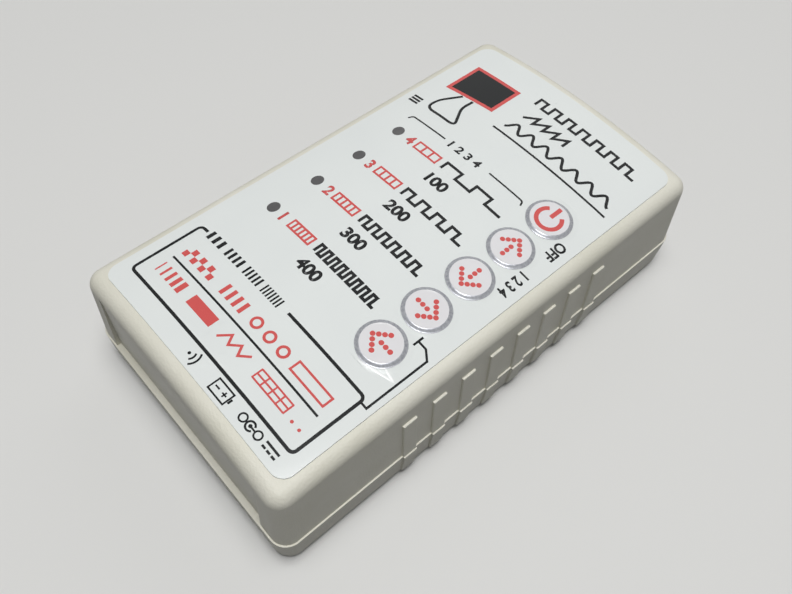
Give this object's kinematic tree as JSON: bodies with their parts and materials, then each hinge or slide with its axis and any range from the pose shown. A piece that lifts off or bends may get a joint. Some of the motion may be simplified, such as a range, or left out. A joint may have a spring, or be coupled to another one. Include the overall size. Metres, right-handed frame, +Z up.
{
  "type": "handheld video test signal generator",
  "caption": "Flat hand-held case with a printed key overlay, a row of press keys, indicator windows, grip pads, a video socket and a battery door",
  "frame": {"origin": "on the resting plane, under the middle of the overall box", "axes": "+X across the case towards the key side, +Y along it towards the end with the video socket, +Z up out of the key face"},
  "size_m": [0.0576, 0.1046, 0.0267],
  "materials": {
    "case_plastic": "fine-textured moulded ABS, ivory white",
    "panel_plastic": "fine-textured moulded ABS, ivory white",
    "printed_overlay": "glossy printed polyester film, cool white",
    "key_overlay": "glossy film embossed over each key, with a grey ring",
    "board_laminate": "glass-epoxy laminate, green solder mask",
    "screw_steel": "zinc-plated steel",
    "battery_jacket": "plain printed steel jacket, dark",
    "terminal_metal": "nickel-plated steel",
    "snap_vinyl": "black vinyl",
    "lead_black": "black vinyl insulation",
    "lead_red": "red vinyl insulation",
    "socket_plastic": "black moulded nylon",
    "contact_metal": "gold-flashed or bare brass",
    "connector_steel": "tin-plated pressed steel",
    "connector_plastic": "blue moulded polyester",
    "jack_screw_steel": "nickel-plated steel",
    "component_black": "black moulded epoxy",
    "can_metal": "drawn steel can",
    "capacitor_sleeve": "dark shrink sleeve",
    "switch_body": "black moulded thermoplastic",
    "switch_stem": "black moulded thermoplastic",
    "lamp_lens": "tinted clear epoxy"
  },
  "bodies": {
    "case": {"upper_shell": "case_plastic", "lower_shell": "case_plastic", "front_panel": "panel_plastic", "rear_panel": "panel_plastic", "label": "printed_overlay", "circuit_board": "board_laminate", "board_screws": "screw_steel", "case_screws": "screw_steel", "battery": "battery_jacket", "battery_terminals": "terminal_metal", "battery_snap": "snap_vinyl", "battery_lead_black": "lead_black", "battery_lead_red": "lead_red", "power_socket": "socket_plastic", "power_socket_pin": "contact_metal", "power_socket_tabs": "terminal_metal", "video_socket_shell": "connector_steel", "video_socket_insulator": "connector_plastic", "video_socket_contacts": "contact_metal", "video_jack_screws": "jack_screw_steel", "sounder": "component_black", "microcontroller": "component_black", "crystal": "can_metal", "voltage_regulator": "component_black", "filter_capacitors": "capacitor_sleeve", "output_resistors": "component_black", "switch_1": "switch_body", "switch_2": "switch_body", "switch_3": "switch_body", "switch_4": "switch_body", "switch_5": "switch_body", "lamp_1": "lamp_lens", "lamp_2": "lamp_lens", "lamp_3": "lamp_lens", "lamp_4": "lamp_lens"},
    "key_1_press": {"key_1": "key_overlay", "switch_stem_1": "switch_stem"},
    "key_2_press": {"key_2": "key_overlay", "switch_stem_2": "switch_stem"},
    "key_3_press": {"key_3": "key_overlay", "switch_stem_3": "switch_stem"},
    "key_4_press": {"key_4": "key_overlay", "switch_stem_4": "switch_stem"},
    "key_5_press": {"key_5": "key_overlay", "switch_stem_5": "switch_stem"},
    "door": {"battery_door": "case_plastic"}
  },
  "joints": [
    {"name": "key_1_travel", "type": "slide", "parent": "case", "child": "key_1_press", "axis": [0, 0, -1], "range_m": [0, 0.0003], "stiffness_N_per_m": 1000, "springref_m": -0.0003},
    {"name": "key_2_travel", "type": "slide", "parent": "case", "child": "key_2_press", "axis": [0, 0, -1], "range_m": [0, 0.0003], "stiffness_N_per_m": 1000, "springref_m": -0.0003},
    {"name": "key_3_travel", "type": "slide", "parent": "case", "child": "key_3_press", "axis": [0, 0, -1], "range_m": [0, 0.0003], "stiffness_N_per_m": 1000, "springref_m": -0.0003},
    {"name": "key_4_travel", "type": "slide", "parent": "case", "child": "key_4_press", "axis": [0, 0, -1], "range_m": [0, 0.0003], "stiffness_N_per_m": 1000, "springref_m": -0.0003},
    {"name": "key_5_travel", "type": "slide", "parent": "case", "child": "key_5_press", "axis": [0, 0, -1], "range_m": [0, 0.0003], "stiffness_N_per_m": 1000, "springref_m": -0.0003},
    {"name": "door_slide", "type": "slide", "parent": "case", "child": "door", "axis": [0, -1, 0], "range_m": [0, 0.05]}
  ]
}
